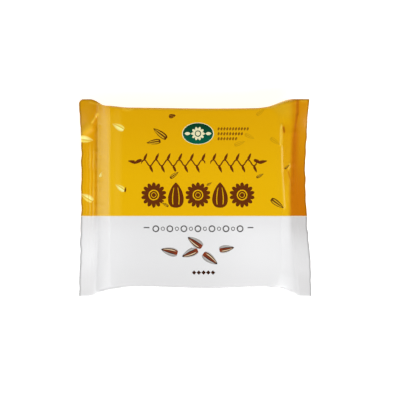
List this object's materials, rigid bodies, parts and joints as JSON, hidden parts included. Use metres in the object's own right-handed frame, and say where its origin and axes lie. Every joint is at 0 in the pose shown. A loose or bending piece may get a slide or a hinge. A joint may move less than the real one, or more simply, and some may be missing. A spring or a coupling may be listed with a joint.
{
  "type": "flow-wrapped halva pack",
  "caption": "Flat bar of sunflower halva in a shut, glossy printed film pack: body drawn tight round the bar, a crimped seal at each end, a folded seam along the back.",
  "frame": {"origin": "middle of the surface that the pack lies on, under the middle of its bounding box", "axes": "+X from the left end seal to the right one as the printed face is read, +Y up the printed face, +Z out of the printed face"},
  "size_m": [0.1364, 0.1156, 0.021],
  "materials": {
    "printed_film": "glossy printed plastic film, golden yellow over the upper part and pearly white over the lower part of the face"
  },
  "bodies": {
    "root": {"halva_pack": "printed_film"}
  },
  "joints": []
}
